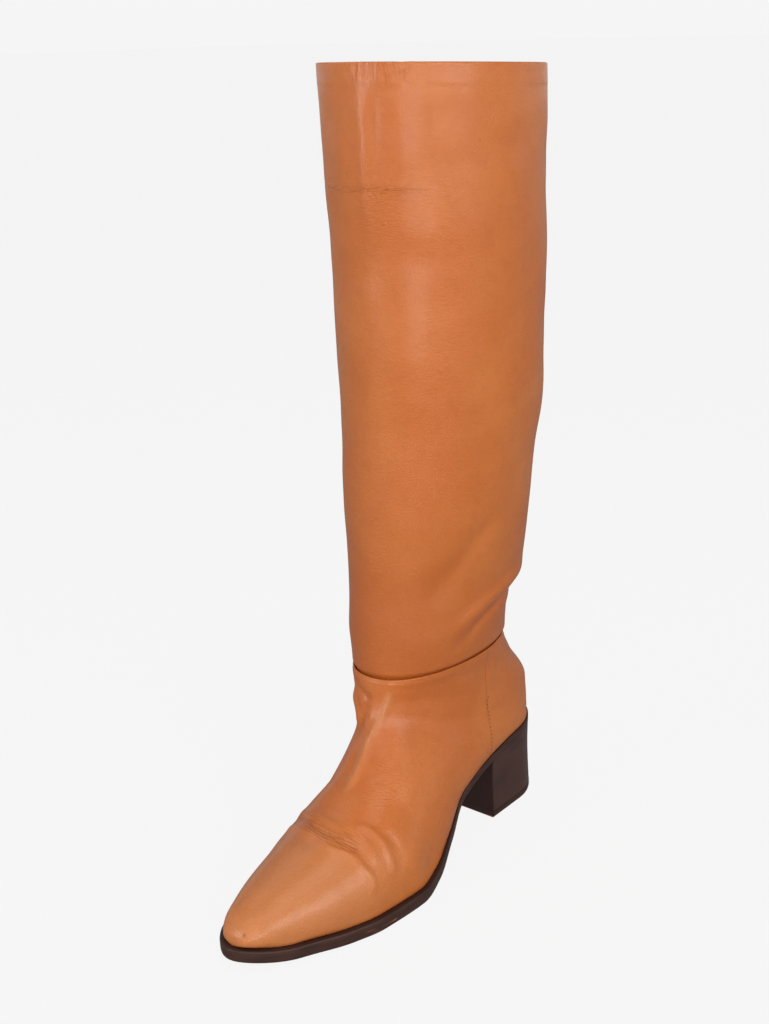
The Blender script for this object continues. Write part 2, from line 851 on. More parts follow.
@dataclass(frozen=True)
class CalfLeather:
    """Smooth tan calf leather with a soft satin polish. Sizes and depths are in millimetres."""

    name: str = "tan_calf"
    tone: Colour = linear(206, 109, 40)
    light_tone: Colour = linear(213, 120, 50)
    deep_tone: Colour = linear(182, 90, 26)
    rubbed_tone: Colour = linear(206, 132, 78)
    burnish: Colour = linear(120, 50, 20)
    roughness: float = 0.4
    cloud: float = 60.0
    mottle: float = 7.0
    speck: float = 1.1
    pore: float = 0.9
    pore_depth: float = 0.13
    swell_depth: float = 0.22
    wrinkle_depth: float = 0.24
    bend_depth: float = 0.1
    ripple_depth: float = 0.4
    gather_depth: float = 0.35
    seam_depth: float = 0.15

    def make(self) -> bpy.types.Material:
        """The leather's material, with grain, wrinkles, seam line and wear."""
        recipe = Recipe(self.name)
        crease = recipe.field("crease")
        seam = abs(recipe.field("seam"))
        wrinkled = recipe.field("wrinkled")
        wander = recipe.noise(6, 3) * 2 - 1.0
        bent = abs(recipe.field("bent") + wander).ease(0.7, 0.1) * wrinkled.ease(0.0, 0.7)
        ripples = self._ripples(recipe)
        polish = recipe.noise(20, 3).ease(0.3, 0.75)
        varying = {
            "Base Color": self._colour(recipe, crease, seam, bent, ripples),
            "Roughness": self.roughness + polish * 0.07 - crease.ease(0.2, 1.6) * 0.08,
            "Normal": self._relief(recipe, seam, bent, ripples),
        }
        return recipe.finish(varying, {"IOR": 1.5, "Coat Weight": 0.35, "Coat Roughness": 0.24})

    def _ripples(self, recipe: Recipe) -> Value:
        """The small ridges that run along the flex crease: 0 in a groove and 1 on a ridge."""
        inputs = {0: recipe.field("across") * 0.85, 1: recipe.field("along") * 0.11}
        beside = recipe.node("ShaderNodeCombineXYZ", None, inputs).outputs[0]
        inputs = {"Vector": beside, "Scale": 1.0, "Detail": 2.0}
        return recipe.value("ShaderNodeTexNoise", None, inputs).ease(0.38, 0.6)

    def _colour(
        self, recipe: Recipe, crease: Value, seam: Value, bent: Value, ripples: Value
    ) -> bpy.types.NodeSocket:
        """The colour, from broad clouds to burnished edges.

        Args:
            recipe: The material's nodes.
            crease: How far sharp folds moved each point out.
            seam: Distance from a seam.
            bent: 1 on the bend line below the collar.
            ripples: 0 in the grooves of the flex crease.

        Returns:
            The colour's socket.
        """
        clouds = recipe.noise(self.cloud, 3)
        mottle = recipe.noise(self.mottle, 4)
        specks = recipe.noise(self.speck, 2)
        rubbed = recipe.field("rubbed") * (0.6 + clouds * 0.8)
        grooves = (1 - ripples) * recipe.field("flexed")
        colour = recipe.blend(clouds.ease(0.35, 0.7), self.tone, self.light_tone)
        for share, tone in (
            (mottle.ease(0.45, 0.8) * 0.22, self.deep_tone),
            (recipe.field("aged"), self.deep_tone),
            (rubbed, self.rubbed_tone),
            (specks.ease(0.55, 0.8) * 0.25, self.deep_tone),
            ((crease * -1).ease(0.1, 1.6) * 0.3, self.deep_tone),
            (crease.ease(0.2, 1.8) * 0.35, self.light_tone),
            (recipe.field("edge").ease(2.2, 0.2) * 0.5, self.burnish),
            (bent * 0.2, self.deep_tone),
            (seam.ease(0.5, 0.1) * 0.35, self.burnish),
            (grooves * 0.25, self.deep_tone),
        ):
            colour = recipe.blend(share, colour, tone)
        return colour

    def _relief(
        self, recipe: Recipe, seam: Value, bent: Value, ripples: Value
    ) -> bpy.types.NodeSocket:
        """The surface, from soft swells to pores.

        Args:
            recipe: The material's nodes.
            seam: Distance from a seam.
            bent: 1 on the bend line below the collar.
            ripples: 0 in the grooves of the flex crease.

        Returns:
            The normal's socket.
        """
        swells = recipe.noise(2.4, 3, (1.0, 1.0, 1.8))
        lines = recipe.noise(2.2, 2, (0.5, 0.5, 2.8)).ease(0.35, 0.65)
        crackle = recipe.cells(2.2, (0.55, 0.55, 2.0)).ease(0.0, 0.3)
        gathers = recipe.noise(1.9, 2, (1.0, 0.3, 0.15)).ease(0.35, 0.65)
        grain = recipe.cells(self.pore).ease(0.0, 0.25) * 0.6 + recipe.noise(1.4, 3) * 0.8
        normal = None
        for height, depth in (
            (swells, self.swell_depth),
            ((lines + crackle) * recipe.field("wrinkled"), self.wrinkle_depth),
            (1 - bent, self.bend_depth),
            (ripples * recipe.field("flexed"), self.ripple_depth),
            (gathers * recipe.field("gathered"), self.gather_depth),
            (grain, self.pore_depth),
            (seam.ease(0.0, 0.5), self.seam_depth),
        ):
            normal = recipe.bump(height, depth, normal)
        return normal


@dataclass(frozen=True)
class LiningLeather:
    """Unpolished natural leather of the lining and insole."""

    name: str = "natural_lining"
    tone: Colour = linear(196, 160, 120)
    rubbed: Colour = linear(166, 126, 88)

    def make(self) -> bpy.types.Material:
        """The lining's material, with fine nap and rubbed patches."""
        recipe = Recipe(self.name)
        patches = recipe.noise(35, 3)
        nap = recipe.noise(0.8, 3)
        colour = recipe.blend(patches.ease(0.35, 0.75), self.tone, self.rubbed)
        colour = recipe.blend(nap * 0.2, colour, self.rubbed)
        return recipe.finish(
            {
                "Base Color": colour,
                "Roughness": 0.68 + nap * 0.15,
                "Normal": recipe.bump(nap, 0.05),
            },
            {"IOR": 1.4},
        )


class Wear(Enum):
    """Whether a dark sole piece is still sound or rubbed back to bare leather in places."""

    SOUND = "sound"
    RUBBED = "rubbed"


@dataclass(frozen=True)
class DarkEdge:
    """Dark stained and waxed leather or rubber of the sole and heel."""

    name: str
    tone: Colour = linear(72, 44, 36)
    deep_tone: Colour = linear(50, 28, 22)
    bare: Colour = linear(150, 92, 56)
    shaded: Colour = linear(50, 24, 18)
    roughness: float = 0.46
    layering: float = 1.0
    wear: Wear = Wear.SOUND

    def make(self) -> bpy.types.Material:
        """The edge's material, with faint layers, streaks and rubbed spots."""
        recipe = Recipe(self.name)
        layers = recipe.noise(2.0, 3, (0.12, 0.12, 1.0))
        patches = recipe.noise(22, 3)
        scratches = recipe.noise(5.0, 4, (0.2, 0.2, 2.6))
        layered = layers.ease(0.35, 0.7) * (0.7 * self.layering)
        colour = recipe.blend(layered, self.tone, self.deep_tone)
        colour = recipe.blend(patches.ease(0.4, 0.8) * 0.5, colour, self.deep_tone)
        colour = recipe.blend(recipe.field("ledge") * 0.85, colour, self.shaded)
        if self.wear is Wear.RUBBED:
            rubbed = recipe.field("rubbed") + (scratches - 0.5) * 1.6
            colour = recipe.blend(rubbed.ease(0.62, 0.9), colour, self.bare)
        grain = recipe.noise(0.7, 3)
        normal = recipe.bump(layers, 0.12 * self.layering)
        normal = recipe.bump(grain, 0.04, normal)
        rough = self.roughness + scratches.ease(0.4, 0.8) * 0.14
        return recipe.finish(
            {"Base Color": colour, "Roughness": rough, "Normal": normal}, {"IOR": 1.42}
        )


@dataclass(frozen=True)
class Thread:
    """Waxed sewing thread."""

    name: str = "tan_thread"
    tone: Colour = linear(150, 76, 36)
    dark_tone: Colour = linear(112, 54, 26)

    def make(self) -> bpy.types.Material:
        """The thread's material, with its twist."""
        recipe = Recipe(self.name)
        twist = recipe.noise(0.5, 2)
        colour = recipe.blend(twist * 0.5, self.tone, self.dark_tone)
        return recipe.finish(
            {"Base Color": colour, "Normal": recipe.bump(twist, 0.05)}, {"Roughness": 0.6}
        )


# ---- The sole unit ----

# Points across an underside, a top or a breast.
CROSSINGS = 13


@dataclass(frozen=True)
class EdgeStep:
    """One point of a sole piece's side: its share of the height and how far in it lies."""

    share: float
    inset: float


def edge_steps(*pairs: Pair) -> tuple[EdgeStep, ...]:
    """A side's steps, from pairs of share and inset."""
    return tuple(EdgeStep(*pair) for pair in pairs)


@dataclass
class Layer:
    """A flat-topped piece that follows the sole's edge.

    Attributes:
        name: The piece's name.
        node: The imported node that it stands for.
        slot: The record's material slot.
        bottom: Height of its underside at a place along the foot.
        top: Height of its top there.
        side: Steps of its side, from the bottom up.
        first_rim: Where it starts along the edge: 0 at the toe tip.
        inset: A further inset at each place along the foot.
        soften: How much of the side's own insets applies at each place.
        stations: How many places along the edge it has.
    """

    name: str
    node: str
    slot: str
    bottom: Callable[[Array], Array]
    top: Callable[[Array], Array]
    side: tuple[EdgeStep, ...]
    first_rim: float = 0.0
    inset: Callable[[Array], Array] = np.zeros_like
    soften: Callable[[Array], Array] = np.ones_like
    stations: int = 220

    def build(self, finish: bpy.types.Material, **fields: Callable[[Array], Array]) -> bpy.types.Object:
        """Makes the piece.

        Args:
            finish: Its material.
            fields: Named functions of its points that the shaders read.

        Returns:
            The finished object.
        """
        inner, outer = self._face(1.0), self._face(-1.0)
        mesher = Mesher(self.name)
        self._add(mesher, inner, fields, flip=False)
        self._add(mesher, outer, fields, flip=True)
        for column, flip in ((0, True), (-1, False)):
            across = np.linspace(0, 1, CROSSINGS)[None, :, None]
            band = inner[:, column, None] * (1 - across) + outer[:, column, None] * across
            self._add(mesher, band, fields, flip=flip)
        if self.first_rim > 0:
            across = np.linspace(0, 1, CROSSINGS)[:, None, None]
            breast = inner[None, 0] * (1 - across) + outer[None, 0] * across
            self._add(mesher, breast, fields, flip=False)
        piece = mesher.build(finish, self.slot, self.node)
        crisp_edges(piece)
        return piece

    def _face(self, side: float) -> Array:
        """One side of the piece.

        Args:
            side: 1 on the inner side and -1 on the outer side.

        Returns:
            A ring of points, from the bottom up, at each place along the edge.
        """
        rims = np.linspace(self.first_rim, 1, self.stations)
        cut, soft = self.inset(BOOT.rim_y(rims)), self.soften(BOOT.rim_y(rims))
        columns = []
        for step in self.side:
            flat = BOOT.edge(rims, np.full_like(rims, side), cut + soft * step.inset)
            low, high = self.bottom(flat[:, 1]), self.top(flat[:, 1])
            height = low + (high - low) * step.share
            columns.append(np.concatenate([flat, height[:, None]], -1))
        return np.stack(columns, 1)

    def _add(
        self, mesher: Mesher, rings: Array, fields: dict[str, Callable[[Array], Array]], flip: bool
    ) -> None:
        """Adds one face of the piece with its fields.

        Args:
            mesher: The piece's mesh.
            rings: Points of the face.
            fields: Named functions of them.
            flip: Whether its faces look the other way.
        """
        values = {name: work(rings) for name, work in fields.items()}
        mesher.grid(rings, flip=flip, **values)


def crisp_edges(piece: bpy.types.Object, degrees: float = 40.0) -> None:
    """Keeps sharp edges crisp in the shading.

    Args:
        piece: The object.
        degrees: The angle above which an edge is sharp.
    """
    mesh = piece.data
    mesh.update()
    normals = np.zeros(len(mesh.polygons) * 3, np.float32)
    mesh.polygons.foreach_get("normal", normals)
    normals = normals.reshape(-1, 3)
    beside: dict[int, list[int]] = {}
    for polygon in mesh.polygons:
        for loop in polygon.loop_indices:
            beside.setdefault(mesh.loops[loop].edge_index, []).append(polygon.index)
    limit = math.cos(math.radians(degrees))
    sharp = np.zeros(len(mesh.edges), bool)
    for edge, faces in beside.items():
        if len(faces) == 2:
            sharp[edge] = float(normals[faces[0]] @ normals[faces[1]]) < limit
    layer = mesh.attributes.get("sharp_edge") or mesh.attributes.new("sharp_edge", "BOOLEAN", "EDGE")
    layer.data.foreach_set("value", sharp)


@dataclass
class SoleUnit:
    """Outsole, insole, heel block and top lift."""

    heel_length: float = 62.0
    lift_thick: float = 4.5
    insole_thick: float = 2.0
    insole_ease: float = 3.7
    seat_rounding: float = 0.12
    lift_gap: float = 0.12
    seat_gap: float = 0.02
    tread_edge: Span = (-222, -208, -192, -184)

    def build(self) -> None:
        """Makes the four pieces, each in its own finish."""
        self._outsole()
        self._insole()
        self._heel_block()
        self._top_lift()

    def _outsole(self) -> bpy.types.Object:
        """The full-length outsole with its ledge and rounded edge."""
        under = ((0.0, 1.4), (0.04, 0.8), (0.12, 0.35), (0.25, 0.12), (0.4, 0.04), (0.6, 0.0))
        over = ((0.84, 0.0), (0.93, 0.12), (0.98, 0.4), (1.0, 0.8), (1.0, 2.0))

        def soften(y: Array) -> Array:
            """How much of the rounding applies: little round the heel seat."""
            forward = ease(y, -self.heel_length + 4, -self.heel_length - 6)
            return self.seat_rounding + (1 - self.seat_rounding) * forward

        sole = Layer(
            "outsole_edge",
            "outsole",
            "sole_leather",
            SOLE.under,
            BOOT.sole_top,
            edge_steps(*under, *over),
            soften=soften,
            stations=300,
        )

        def ledge(rings: Array) -> Array:
            """How much a point lies on the top ledge."""
            share = (rings[..., 2] - SOLE.under(rings[..., 1])) / SOLE.thick(rings[..., 1])
            return ease(share, 0.97, 1.0)

        def rubbed(rings: Array) -> Array:
            """How much the edge has been rubbed on the ground."""
            y, z = rings[..., 1], rings[..., 2]
            share = (z - SOLE.under(y)) / SOLE.thick(y)
            low = bell(share - 0.4, 0.25)
            tread = window(y, *self.tread_edge) * 0.75
            toe = ease(y, -268, -278) * 0.5
            return low * (0.1 + tread + toe) * (rings[..., 0] > 0)

        finish = DarkEdge("stained_sole_edge", wear=Wear.RUBBED).make()
        return sole.build(finish, ledge=ledge, rubbed=rubbed)

    def _insole(self) -> bpy.types.Object:
        """The insole inside the foot."""
        layer = Layer(
            "insole_leather",
            "insole",
            "lining_leather",
            lambda y: BOOT.sole_top(y) + BOOT.gap,
            lambda y: BOOT.sole_top(y) + BOOT.gap + self.insole_thick,
            edge_steps((0, 0), (0.7, 0), (1, 0.5)),
            inset=lambda y: SOLE.ledge(y) + self.insole_ease,
            stations=120,
        )
        return layer.build(LiningLeather("insole_lining").make())

    def _heel_block(self) -> bpy.types.Object:
        """The block heel, waisted a little under the seat."""
        layer = Layer(
            "heel_stack",
            "heel_block",
            "heel_stack",
            lambda y: np.full_like(y, self.lift_thick + self.lift_gap),
            lambda y: SOLE.under(y) - self.seat_gap,
            edge_steps((0, -0.6), (0.15, -0.3), (0.3, 0), (0.5, 0.3), (0.7, 0.4), (0.9, 0.25), (1, 0.1)),
            first_rim=BOOT.rim_at(-self.heel_length),
            stations=90,
        )
        tones = {"tone": linear(73, 45, 38), "deep_tone": linear(46, 26, 21)}
        finish = DarkEdge("polished_heel", **tones, roughness=0.36, layering=0.25)

        def breast(rings: Array) -> Array:
            """How much a point lies on the heel's front face."""
            return ease(rings[..., 1], -self.heel_length + 1.2, -self.heel_length + 0.2)

        return layer.build(finish.make(), ledge=breast)

    def _top_lift(self) -> bpy.types.Object:
        """The wearing layer under the heel."""
        layer = Layer(
            "top_lift_edge",
            "top_lift",
            "lift_rubber",
            np.zeros_like,
            lambda y: np.full_like(y, self.lift_thick),
            edge_steps((0, 0), (0.1, -0.5), (0.3, -0.75), (1, -0.7)),
            first_rim=BOOT.rim_at(-self.heel_length),
            stations=90,
        )

        def rubbed(rings: Array) -> Array:
            """How much the lower edge has been rubbed on the ground."""
            return ease(rings[..., 2], 1.6, 0.2) * 0.9

        tones = {"tone": linear(60, 35, 29), "deep_tone": linear(40, 22, 17)}
        finish = DarkEdge("worn_lift", **tones, wear=Wear.RUBBED)
        return layer.build(finish.make(), rubbed=rubbed)


# ---- Leather pieces ----

# Rings back from which a top edge takes its direction, and rings that fold it over.
EDGE_RUN = 3
EDGE_RINGS = 9


def rows_between(*stretches: tuple[float, float, int]) -> Array:
    """Places in the form's table, one for each ring of a piece.

    Args:
        stretches: Start, end and number of places of each stretch; neighbours share an end.

    Returns:
        The places in order.
    """
    runs = [np.linspace(*stretch) for stretch in stretches]
    return np.concatenate([run[:-1] for run in runs[:-1]] + runs[-1:])


@dataclass(frozen=True)
class Face:
    """The outer face of a leather piece.

    Attributes:
        rings: Its points, as rings by columns by 3.
        normals: The direction out at each.
        marks: How far sharp folds moved each.
    """

    rings: Array
    normals: Array
    marks: Array

    def beside(self, fold: Fold) -> list[Array]:
        """What Fold.nearest says of each point, laid out as the rings are."""
        found = fold.nearest(self.rings.reshape(-1, 3), self.normals.reshape(-1, 3))
        return [values.reshape(self.marks.shape) for values in found]


@dataclass
class LeatherPiece:
    """A stretch of the boot's form in fine leather, hollow, with a lining.

    Attributes:
        name: Start of its pieces' names.
        node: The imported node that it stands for.
        rows: Places in the form's table, one for each ring.
        columns: How many points each ring has.
        wall: Thickness of leather and lining.
        folds: Creases, folds and dents that were worked into it.
        edge_radius: Radius of the folded top edge.
        turned_in: How far the folded edge runs down inside.
        lining_start: The first ring of the outer face that has lining behind it.
        held: Height above the sole up to which the sole holds the leather.
    """

    name: str
    node: str
    rows: Array
    columns: int
    wall: float
    folds: tuple[Fold | Waviness, ...]
    edge_radius: float = 0.8
    turned_in: float = 2.5
    lining_start: int = 0
    held: float = 5.0

    def outer(self) -> Face:
        """The leather's outer face, with its folds worked in."""
        turn = np.linspace(-1, 1, self.columns)
        row, turn = np.meshgrid(self.rows, turn, indexing="ij")
        side = np.where(turn < 0, -1.0, 1.0)
        rings = BOOT.point(row, side, 2 * (1 - np.abs(turn)))
        normals = outward(rings)
        rings = rings - normals * self.inset(row)[..., None]
        flat, out = rings.reshape(-1, 3), normals.reshape(-1, 3)
        moved = np.zeros(len(flat))
        marks = np.zeros(len(flat))
        for fold in self.folds:
            push = fold.push(flat, out)
            moved += push
            marks += push if isinstance(fold, Fold) and fold.sharp else 0
        moved = moved.reshape(row.shape) * self.hold(rings, row)
        rings = rings + normals * moved[..., None]
        return Face(rings, outward(rings), marks.reshape(row.shape))

    def inset(self, row: Array) -> Array:
        """How far the outer face lies within the form at each row."""
        return np.zeros_like(row)

    def hold(self, rings: Array, row: Array) -> Array:
        """How freely each point may move: 0 where another piece holds it."""
        free = ease(rings[..., 2] - BOOT.sole_top(rings[..., 1]), BOOT.gap, self.held)
        return np.where(row <= BOOT.heel_row + 0.5, free, 1.0)

    def lining_depth(self) -> Array:
        """How far the lining lies behind the outer face at each row."""
        return np.full(len(self.rows), self.wall)

    def rolled_edge(self, face: Face) -> Array:
        """Rings that fold the top edge inwards.

        Args:
            face: The outer face.

        Returns:
            Rings from the edge, over the fold, to the inner face.
        """
        edge, out = face.rings[-1], face.normals[-1]
        up = edge - face.rings[-1 - EDGE_RUN]
        up /= np.linalg.norm(up, axis=-1, keepdims=True)
        folded = []
        for angle in np.linspace(0, math.pi, EDGE_RINGS):
            inwards = out * (math.cos(angle) - 1) * self.edge_radius
            folded.append(edge + inwards + up * math.sin(angle) * self.edge_radius)
        folded.append(folded[-1] - up * self.turned_in)
        return np.array(folded)

    def fields(self, face: Face) -> dict[str, Array]:
        """Numbers that the leather's shader reads at each point.

        Args:
            face: The outer face.

        Returns:
            The named fields.
        """
        nothing = np.zeros_like(face.marks)
        named = dict.fromkeys(("wrinkled", "gathered", "aged", "rubbed"), nothing)
        return {"crease": face.marks, **named, **dict.fromkeys(("bent", "seam", "edge"), nothing + FAR)}

    def build(self, leather: bpy.types.Material, lining: bpy.types.Material) -> None:
        """Makes the leather face with its folded edge, and the lining.

        Args:
            leather: Finish of the outer face.
            lining: Finish of the inner face.
        """
        face = self.outer()
        fields = self.fields(face)
        mesher = Mesher(f"{self.name}_leather")
        mesher.grid(face.rings, **fields)
        mesher.grid(self.rolled_edge(face), **{name: values[-1] for name, values in fields.items()})
        mesher.build(leather, "upper_leather", self.node)
        inner = face.rings - face.normals * self.lining_depth()[:, None, None]
        inside = Mesher(f"{self.name}_lining")
        inside.grid(inner[self.lining_start :: 2, ::2], flip=True)
        inside.build(lining, "lining_leather")


FLEX_CREASE = Fold(((-34, -186, 36), (-20, -193, 46), (-1, -201, 51), (10, -203, 51), (24, -202, 49),
                    (34, -199, 45)), -0.9, 1.5, fade=0.2)

# The ridge down the middle of the instep, rubbed lighter along its top.
INSTEP_RIDGES = (
    Fold(((8, -140, 117), (7, -141, 109), (5, -144, 101), (3, -149, 93), (1, -153, 86)), 1.1, 2.6, 0.25),
    Fold(((4, -147, 97), (1, -153, 86), (1, -159, 77), (1, -170, 66), (3, -180, 60)), 1.4, 3.2, fade=0.3),
)

FOOT_FOLDS: tuple[Fold | Waviness, ...] = (
    # The flex crease over the toe joint, with the small rolls of leather on both sides of it.
    FLEX_CREASE,
    Fold(((-36, -181, 37), (-22, -187, 47), (-2, -195, 53), (10, -197, 54), (22, -197, 53)), 1.0, 3.2),
    Fold(((-30, -196, 36), (-18, -200, 44), (-4, -205, 49), (8, -209, 50)), 0.9, 2.6),
    Fold(((-26, -203, 38), (-12, -209, 45), (2, -213, 48), (12, -214, 47)), -0.5, 3.0),
    Fold(((-2, -197, 52), (10, -199, 53), (20, -199, 52)), -0.5, 0.9),
    # The roll that runs from the crease down the inner side, and the trough beside it.
    Fold(
        ((8, -209, 50), (16, -210, 49), (24, -208, 47), (31, -205, 44), (37, -204, 39), (42, -202, 33),
         (44, -203, 28), (43, -206, 24)),
        1.3, 1.9, fade=0.2,
    ),
    Fold(((12, -192, 55), (21, -196, 52), (30, -199, 47), (37, -200, 41), (43, -198, 33)), -0.7, 2.2),
    Fold(((14, -189, 56), (23, -192, 53), (31, -193, 48), (37, -194, 43), (42, -194, 36)), 0.35, 1.6),
    # A second roll above it.
    Fold(
        ((18, -190, 55), (25, -188, 53), (33, -186, 50), (38, -185, 45), (42, -186, 39), (45, -187, 32),
         (47, -188, 26)),
        1.05, 1.9, fade=0.2,
    ),
    Fold(((31, -183, 53), (39, -180, 46), (45, -180, 36), (47, -181, 26)), -0.8, 3.0),
    *INSTEP_RIDGES,
    Fold(((14, -138, 116), (14, -141, 106), (12, -145, 96), (10, -150, 86)), -0.5, 3.5),
    # The pinch at the front of the ankle, open towards the outer side.
    Fold(((-20, -138, 119), (-14, -142, 114), (-7, -144, 111), (-2, -145, 106)), -1.1, 2.8),
    Fold(((-5, -144, 110), (-6, -146, 102), (-10, -148, 90), (-15, -151, 80)), -1.0, 3.2),
    Fold(((-24, -136, 112), (-17, -141, 104), (-13, -145, 96), (-14, -149, 86)), 1.7, 3.2),
    Fold(((-30, -130, 106), (-24, -138, 97), (-21, -145, 86)), -1.0, 3.0),
    Fold(((-24, -150, 82), (-14, -158, 76), (-6, -166, 70)), 0.7, 4.0),
    # The counter's front edge under the leather of the inner side.
    Fold(((30, -73, 84), (29, -70, 92), (28, -65, 100), (27, -57, 112), (26, -53, 120)), 0.35, 3.6),
    Fold(((31, -80, 74), (30, -78, 88), (29, -74, 100), (29, -70, 112)), -0.4, 4.0),
    Fold(((-30, -73, 84), (-30, -70, 92), (-31, -65, 100), (-33, -56, 112)), 0.7, 3.0),
    Waviness(46, 0.2, seed=3),
    Waviness(17, 0.05, seed=5),
)

LEG_FOLDS: tuple[Fold | Waviness, ...] = (
    # The fold behind the ankle, where the shaft sinks onto the foot part.
    Fold(
        ((10, -24, 157), (23, -32, 156), (29, -41, 156), (34, -54, 155), (38, -68, 153), (38, -81, 149),
         (36, -90, 144), (32, -99, 136)),
        -2.9, 3.6, fade=0.3,
    ),
    Fold(
        ((14, -22, 168), (30, -36, 168), (38, -62, 166), (39, -84, 160), (36, -99, 153), (30, -113, 145)),
        2.0, 5.0,
    ),
    Fold(((46, -78, 222), (43, -91, 209), (38, -105, 194), (30, -117, 178), (22, -126, 163)), -1.9, 9.0),
    Fold(((38, -84, 150), (34, -96, 142), (29, -108, 134)), -0.8, 5.0),
    Fold(((-24, -44, 172), (-38, -62, 166), (-38, -80, 158), (-34, -94, 148)), -2.6, 4.5, fade=0.2),
    Fold(((-26, -38, 184), (-42, -62, 178), (-40, -86, 168), (-34, -104, 158)), 2.0, 7.0),
    Fold(((-46, -76, 216), (-42, -92, 200), (-36, -108, 184), (-26, -120, 170)), -1.5, 9.0),
    # Soft standing folds down the front and the inner side.
    Fold(((3, -146, 468), (5, -145, 446), (6, -144, 433), (6, -143, 410), (6, -142, 360)), 1.0, 6.2, 0.25),
    Fold(((13, -144, 466), (12, -144, 446), (11, -143, 433), (9, -143, 410), (9, -142, 390)), -0.5, 3.4),
    Fold(((17, -142, 460), (24, -139, 446), (27, -137, 430), (27, -136, 410)), 0.6, 8.0),
    Fold(((40, -127, 466), (38, -127, 430), (36, -127, 400)), -0.5, 8.0),
    Fold(((-22, -141, 466), (-22, -139, 420), (-20, -139, 380)), -0.5, 7.0),
    Fold(((30, -131, 380), (26, -131, 320), (22, -131, 260)), 0.5, 10.0),
    Fold(((48, -100, 330), (47, -96, 280), (45, -90, 230)), -0.6, 12.0),
    # The fine crease that the bent boot left below the collar.
    Fold(
        ((-44, -122, 409), (-28, -135, 411), (-4, -143, 411), (6, -143, 409), (16, -140, 408)),
        -0.3, 1.6, fade=0.15,
    ),
    Fold(((12, -141, 409), (25, -136, 408), (36, -128, 411), (49, -111, 406)), -0.2, 1.6),
    Fold(((22, -140, 464), (28, -137, 468), (32, -134, 472)), -0.5, 1.0, fade=0.2),
    Fold(((18, -142, 466), (25, -139, 470), (28, -137, 473)), 0.3, 1.4),
    Waviness(75, 0.55, seed=11),
    Waviness(26, 0.13, seed=12),
)


@dataclass(frozen=True)
class Puckers:
    """The small gathers in the hem at the front of the collar.

    Attributes:
        start: Where the row begins across the boot.
        end: Where it ends.
        pitch: Distance from one gather to the next.
        sway: How far each may stand from its place.
        depth: Depth of the deepest gather.
        width: Half width of each gather.
        middle: Where the deepest ones are.
        spread: How far from the middle they become shallow.
        length: Least and greatest length.
        front: Place of the collar's front along the foot.
        collar: Height of the collar.
        seed: Seed of their unevenness.
    """

    start: float = -10.0
    end: float = 34.0
    pitch: float = 2.6
    sway: float = 0.6
    depth: float = 0.45
    width: float = 0.8
    middle: float = 14.0
    spread: float = 15.0
    length: Pair = (6, 12)
    front: float = -146.0
    collar: float = 473.0
    seed: int = 21

    def folds(self) -> tuple[Fold, ...]:
        """A short trough for each gather."""
        random = np.random.default_rng(self.seed)
        made = []
        for x in np.arange(self.start, self.end, self.pitch):
            at = x + random.uniform(-self.sway, self.sway)
            y = self.front + (max(0.0, at - 4) ** 2) * 0.0125
            low = self.collar - random.uniform(*self.length)
            depth = -self.depth * float(bell(at - self.middle, self.spread))
            path = ((at, y, self.collar + 1), (at + random.uniform(-1, 1), y, low))
            made.append(Fold(path, depth, self.width, fade=0.35))
        return tuple(made)


